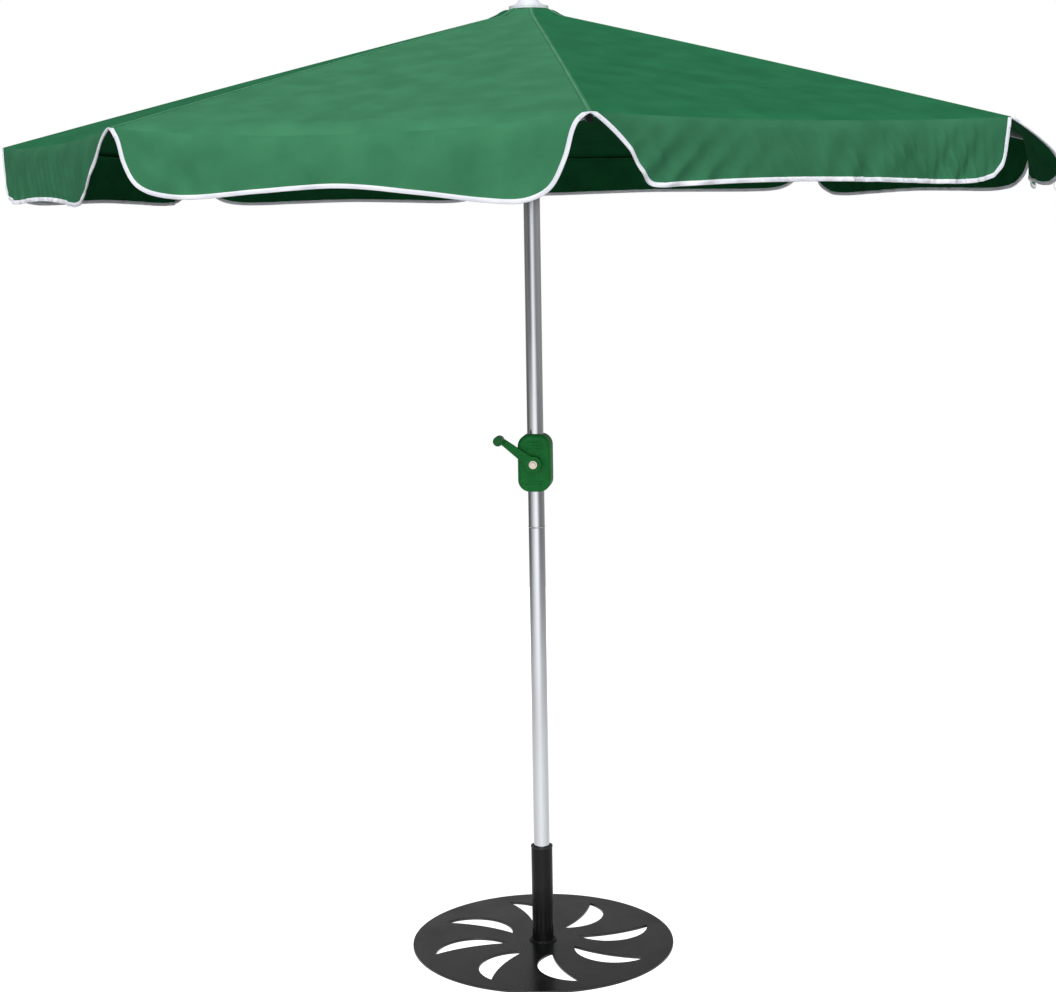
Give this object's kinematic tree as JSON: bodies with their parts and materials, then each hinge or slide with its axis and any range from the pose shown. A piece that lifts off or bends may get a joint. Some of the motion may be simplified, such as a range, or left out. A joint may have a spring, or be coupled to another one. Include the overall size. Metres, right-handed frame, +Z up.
{
  "type": "patio umbrella with base",
  "caption": "Free-standing patio umbrella: crank lift, folding ribs with struts and a sliding runner, scallop-cornered valance, and a pierced round steel base plate with a tube.",
  "frame": {"origin": "on the pole's axis, at the underside of the base plate", "axes": "+Z up along the pole; the crank faces -Y; the first rib points 77.5 degrees clockwise from +X seen from above"},
  "size_m": [2.3138, 2.3138, 2.29],
  "materials": {
    "base_enamel": "satin black enamel",
    "black_plastic": "moulded, fine grain",
    "pole_metal": "bright anodised",
    "green_plastic": "moulded, satin gloss",
    "screw_steel": "zinc plated",
    "hub_plastic": "moulded",
    "wire_steel": "drawn wire",
    "white_plastic": "moulded, satin",
    "lift_cord": "braided polyester",
    "rib_metal": "silver powder coat",
    "canopy_cloth": "woven polyester"
  },
  "bodies": {
    "base": {"base_plate": "base_enamel", "base_tube": "base_enamel", "pole_bush": "black_plastic"},
    "clamp": {"clamp_screw": "black_plastic"},
    "mast": {"lower_pole": "pole_metal", "upper_pole": "pole_metal", "crank_housing_front": "green_plastic", "crank_housing_rear": "green_plastic", "housing_screws": "screw_steel", "top_hub": "hub_plastic", "hub_ring": "wire_steel", "finial": "white_plastic", "lift_cord": "lift_cord"},
    "pulley": {"top_pulley": "hub_plastic"},
    "crank": {"crank_spool": "black_plastic", "crank_arm": "green_plastic", "crank_screw": "screw_steel"},
    "knob": {"crank_knob": "green_plastic"},
    "runner": {"runner": "hub_plastic", "runner_ring": "wire_steel"},
    "rib_1": {"rib_1": "rib_metal", "rib_tip_1": "hub_plastic"},
    "rib_2": {"rib_2": "rib_metal", "rib_tip_2": "hub_plastic"},
    "rib_3": {"rib_3": "rib_metal", "rib_tip_3": "hub_plastic"},
    "rib_4": {"rib_4": "rib_metal", "rib_tip_4": "hub_plastic"},
    "rib_5": {"rib_5": "rib_metal", "rib_tip_5": "hub_plastic"},
    "rib_6": {"rib_6": "rib_metal", "rib_tip_6": "hub_plastic"},
    "rib_7": {"rib_7": "rib_metal", "rib_tip_7": "hub_plastic"},
    "rib_8": {"rib_8": "rib_metal", "rib_tip_8": "hub_plastic"},
    "strut_1": {"strut_1": "rib_metal"},
    "strut_2": {"strut_2": "rib_metal"},
    "strut_3": {"strut_3": "rib_metal"},
    "strut_4": {"strut_4": "rib_metal"},
    "strut_5": {"strut_5": "rib_metal"},
    "strut_6": {"strut_6": "rib_metal"},
    "strut_7": {"strut_7": "rib_metal"},
    "strut_8": {"strut_8": "rib_metal"},
    "panel_1": {"canopy_panel_1": "canopy_cloth"},
    "panel_2": {"canopy_panel_2": "canopy_cloth"},
    "panel_3": {"canopy_panel_3": "canopy_cloth"},
    "panel_4": {"canopy_panel_4": "canopy_cloth"},
    "panel_5": {"canopy_panel_5": "canopy_cloth"},
    "panel_6": {"canopy_panel_6": "canopy_cloth"},
    "panel_7": {"canopy_panel_7": "canopy_cloth"},
    "panel_8": {"canopy_panel_8": "canopy_cloth"},
    "valance_1": {"valance_1": "canopy_cloth"},
    "valance_2": {"valance_2": "canopy_cloth"},
    "valance_3": {"valance_3": "canopy_cloth"},
    "valance_4": {"valance_4": "canopy_cloth"},
    "valance_5": {"valance_5": "canopy_cloth"},
    "valance_6": {"valance_6": "canopy_cloth"},
    "valance_7": {"valance_7": "canopy_cloth"},
    "valance_8": {"valance_8": "canopy_cloth"}
  },
  "joints": [
    {"name": "mast_swivel", "type": "hinge", "parent": "base", "child": "mast", "pos_m": [0, 0, 0.2], "axis": [0, 0, 1], "range_deg": [-180, 180]},
    {"name": "clamp_turn", "type": "hinge", "parent": "base", "child": "clamp", "pos_m": [-0.00557, 0.03961, 0.214], "axis": [-0.1392, 0.9903, 0], "range_deg": [0, 720]},
    {"name": "fold", "type": "hinge", "parent": "mast", "child": "rib_1", "pos_m": [0.00693, -0.03124, 2.188], "axis": [0.9763, 0.2164, 0], "range_deg": [0, 66]},
    {"name": "rib_2_fold", "type": "hinge", "parent": "mast", "child": "rib_2", "pos_m": [0.02699, -0.01719, 2.188], "axis": [0.5373, 0.8434, 0], "range_deg": [0, 66]},
    {"name": "rib_3_fold", "type": "hinge", "parent": "mast", "child": "rib_3", "pos_m": [0.03124, 0.00693, 2.188], "axis": [-0.2164, 0.9763, 0], "range_deg": [0, 66]},
    {"name": "rib_4_fold", "type": "hinge", "parent": "mast", "child": "rib_4", "pos_m": [0.01719, 0.02699, 2.188], "axis": [-0.8434, 0.5373, 0], "range_deg": [0, 66]},
    {"name": "rib_5_fold", "type": "hinge", "parent": "mast", "child": "rib_5", "pos_m": [-0.00693, 0.03124, 2.188], "axis": [-0.9763, -0.2164, 0], "range_deg": [0, 66]},
    {"name": "rib_6_fold", "type": "hinge", "parent": "mast", "child": "rib_6", "pos_m": [-0.02699, 0.01719, 2.188], "axis": [-0.5373, -0.8434, 0], "range_deg": [0, 66]},
    {"name": "rib_7_fold", "type": "hinge", "parent": "mast", "child": "rib_7", "pos_m": [-0.03124, -0.00693, 2.188], "axis": [0.2164, -0.9763, 0], "range_deg": [0, 66]},
    {"name": "rib_8_fold", "type": "hinge", "parent": "mast", "child": "rib_8", "pos_m": [-0.01719, -0.02699, 2.188], "axis": [0.8434, -0.5373, 0], "range_deg": [0, 66]},
    {"name": "strut_1_swing", "type": "hinge", "parent": "rib_1", "child": "strut_1", "pos_m": [0.10164, -0.45848, 2.06343], "axis": [0.9763, 0.2164, 0], "range_deg": [-132, 0]},
    {"name": "strut_2_swing", "type": "hinge", "parent": "rib_2", "child": "strut_2", "pos_m": [0.39607, -0.25232, 2.06343], "axis": [0.5373, 0.8434, 0], "range_deg": [-132, 0]},
    {"name": "strut_3_swing", "type": "hinge", "parent": "rib_3", "child": "strut_3", "pos_m": [0.45848, 0.10164, 2.06343], "axis": [-0.2164, 0.9763, 0], "range_deg": [-132, 0]},
    {"name": "strut_4_swing", "type": "hinge", "parent": "rib_4", "child": "strut_4", "pos_m": [0.25232, 0.39607, 2.06343], "axis": [-0.8434, 0.5373, 0], "range_deg": [-132, 0]},
    {"name": "strut_5_swing", "type": "hinge", "parent": "rib_5", "child": "strut_5", "pos_m": [-0.10164, 0.45848, 2.06343], "axis": [-0.9763, -0.2164, 0], "range_deg": [-132, 0]},
    {"name": "strut_6_swing", "type": "hinge", "parent": "rib_6", "child": "strut_6", "pos_m": [-0.39607, 0.25232, 2.06343], "axis": [-0.5373, -0.8434, 0], "range_deg": [-132, 0]},
    {"name": "strut_7_swing", "type": "hinge", "parent": "rib_7", "child": "strut_7", "pos_m": [-0.45848, -0.10164, 2.06343], "axis": [0.2164, -0.9763, 0], "range_deg": [-132, 0]},
    {"name": "strut_8_swing", "type": "hinge", "parent": "rib_8", "child": "strut_8", "pos_m": [-0.25232, -0.39607, 2.06343], "axis": [0.8434, -0.5373, 0], "range_deg": [-132, 0]},
    {"name": "runner_pivot", "type": "hinge", "parent": "strut_1", "child": "runner", "pos_m": [0.00693, -0.03124, 1.93886], "axis": [0.9763, 0.2164, 0], "range_deg": [0, 66], "deforming": ["lift_cord"]},
    {"name": "panel_1_fold", "type": "hinge", "parent": "mast", "child": "panel_1", "pos_m": [0.01696, -0.02422, 2.188], "axis": [0.8192, 0.5736, 0], "range_deg": [0, 65.65], "deforming": ["canopy_panel_1"]},
    {"name": "panel_2_fold", "type": "hinge", "parent": "mast", "child": "panel_2", "pos_m": [0.02911, -0.00513, 2.188], "axis": [0.1736, 0.9848, 0], "range_deg": [0, 65.65], "deforming": ["canopy_panel_2"]},
    {"name": "panel_3_fold", "type": "hinge", "parent": "mast", "child": "panel_3", "pos_m": [0.02422, 0.01696, 2.188], "axis": [-0.5736, 0.8192, 0], "range_deg": [0, 65.65], "deforming": ["canopy_panel_3"]},
    {"name": "panel_4_fold", "type": "hinge", "parent": "mast", "child": "panel_4", "pos_m": [0.00513, 0.02911, 2.188], "axis": [-0.9848, 0.1736, 0], "range_deg": [0, 65.65], "deforming": ["canopy_panel_4"]},
    {"name": "panel_5_fold", "type": "hinge", "parent": "mast", "child": "panel_5", "pos_m": [-0.01696, 0.02422, 2.188], "axis": [-0.8192, -0.5736, 0], "range_deg": [0, 65.65], "deforming": ["canopy_panel_5"]},
    {"name": "panel_6_fold", "type": "hinge", "parent": "mast", "child": "panel_6", "pos_m": [-0.02911, 0.00513, 2.188], "axis": [-0.1736, -0.9848, 0], "range_deg": [0, 65.65], "deforming": ["canopy_panel_6"]},
    {"name": "panel_7_fold", "type": "hinge", "parent": "mast", "child": "panel_7", "pos_m": [-0.02422, -0.01696, 2.188], "axis": [0.5736, -0.8192, 0], "range_deg": [0, 65.65], "deforming": ["canopy_panel_7"]},
    {"name": "panel_8_fold", "type": "hinge", "parent": "mast", "child": "panel_8", "pos_m": [-0.00513, -0.02911, 2.188], "axis": [0.9848, -0.1736, 0], "range_deg": [0, 65.65], "deforming": ["canopy_panel_8"]},
    {"name": "valance_1_hang", "type": "hinge", "parent": "panel_1", "child": "valance_1", "pos_m": [0.62795, -0.8968, 1.90205], "axis": [0.8192, 0.5736, 0], "range_deg": [-65.65, 0], "deforming": ["valance_1"]},
    {"name": "valance_2_hang", "type": "hinge", "parent": "panel_2", "child": "valance_2", "pos_m": [1.07817, -0.19011, 1.90205], "axis": [0.1736, 0.9848, 0], "range_deg": [-65.65, 0], "deforming": ["valance_2"]},
    {"name": "valance_3_hang", "type": "hinge", "parent": "panel_3", "child": "valance_3", "pos_m": [0.8968, 0.62795, 1.90205], "axis": [-0.5736, 0.8192, 0], "range_deg": [-65.65, 0], "deforming": ["valance_3"]},
    {"name": "valance_4_hang", "type": "hinge", "parent": "panel_4", "child": "valance_4", "pos_m": [0.19011, 1.07817, 1.90205], "axis": [-0.9848, 0.1736, 0], "range_deg": [-65.65, 0], "deforming": ["valance_4"]},
    {"name": "valance_5_hang", "type": "hinge", "parent": "panel_5", "child": "valance_5", "pos_m": [-0.62795, 0.8968, 1.90205], "axis": [-0.8192, -0.5736, 0], "range_deg": [-65.65, 0], "deforming": ["valance_5"]},
    {"name": "valance_6_hang", "type": "hinge", "parent": "panel_6", "child": "valance_6", "pos_m": [-1.07817, 0.19011, 1.90205], "axis": [-0.1736, -0.9848, 0], "range_deg": [-65.65, 0], "deforming": ["valance_6"]},
    {"name": "valance_7_hang", "type": "hinge", "parent": "panel_7", "child": "valance_7", "pos_m": [-0.8968, -0.62795, 1.90205], "axis": [0.5736, -0.8192, 0], "range_deg": [-65.65, 0], "deforming": ["valance_7"]},
    {"name": "valance_8_hang", "type": "hinge", "parent": "panel_8", "child": "valance_8", "pos_m": [-0.19011, -1.07817, 1.90205], "axis": [0.9848, -0.1736, 0], "range_deg": [-65.65, 0], "deforming": ["valance_8"]},
    {"name": "crank_turn", "type": "hinge", "parent": "mast", "child": "crank", "pos_m": [0, 0, 1.173], "axis": [0, -1, 0], "range_deg": [0, 3208]},
    {"name": "knob_spin", "type": "hinge", "parent": "crank", "child": "knob", "pos_m": [-0.07667, -0.06, 1.23077], "axis": [0, -1, 0], "continuous": true},
    {"name": "pulley_turn", "type": "hinge", "parent": "mast", "child": "pulley", "pos_m": [0.00946, -0.01352, 2.191], "axis": [0.8192, 0.5736, 0], "range_deg": [0, 3933]}
  ],
  "couplings": [
    {"joint": "rib_2_fold", "follows": "fold", "ratio": 1},
    {"joint": "rib_3_fold", "follows": "fold", "ratio": 1},
    {"joint": "rib_4_fold", "follows": "fold", "ratio": 1},
    {"joint": "rib_5_fold", "follows": "fold", "ratio": 1},
    {"joint": "rib_6_fold", "follows": "fold", "ratio": 1},
    {"joint": "rib_7_fold", "follows": "fold", "ratio": 1},
    {"joint": "rib_8_fold", "follows": "fold", "ratio": 1},
    {"joint": "strut_1_swing", "follows": "fold", "ratio": -2},
    {"joint": "strut_2_swing", "follows": "fold", "ratio": -2},
    {"joint": "strut_3_swing", "follows": "fold", "ratio": -2},
    {"joint": "strut_4_swing", "follows": "fold", "ratio": -2},
    {"joint": "strut_5_swing", "follows": "fold", "ratio": -2},
    {"joint": "strut_6_swing", "follows": "fold", "ratio": -2},
    {"joint": "strut_7_swing", "follows": "fold", "ratio": -2},
    {"joint": "strut_8_swing", "follows": "fold", "ratio": -2},
    {"joint": "runner_pivot", "follows": "fold", "ratio": 1},
    {"joint": "panel_1_fold", "follows": "fold", "ratio": 0.99462},
    {"joint": "panel_2_fold", "follows": "fold", "ratio": 0.99462},
    {"joint": "panel_3_fold", "follows": "fold", "ratio": 0.99462},
    {"joint": "panel_4_fold", "follows": "fold", "ratio": 0.99462},
    {"joint": "panel_5_fold", "follows": "fold", "ratio": 0.99462},
    {"joint": "panel_6_fold", "follows": "fold", "ratio": 0.99462},
    {"joint": "panel_7_fold", "follows": "fold", "ratio": 0.99462},
    {"joint": "panel_8_fold", "follows": "fold", "ratio": 0.99462},
    {"joint": "valance_1_hang", "follows": "fold", "ratio": -0.99462},
    {"joint": "valance_2_hang", "follows": "fold", "ratio": -0.99462},
    {"joint": "valance_3_hang", "follows": "fold", "ratio": -0.99462},
    {"joint": "valance_4_hang", "follows": "fold", "ratio": -0.99462},
    {"joint": "valance_5_hang", "follows": "fold", "ratio": -0.99462},
    {"joint": "valance_6_hang", "follows": "fold", "ratio": -0.99462},
    {"joint": "valance_7_hang", "follows": "fold", "ratio": -0.99462},
    {"joint": "valance_8_hang", "follows": "fold", "ratio": -0.99462},
    {"joint": "crank_turn", "follows": "fold", "ratio": 48.567},
    {"joint": "pulley_turn", "follows": "fold", "ratio": 59.558}
  ]
}
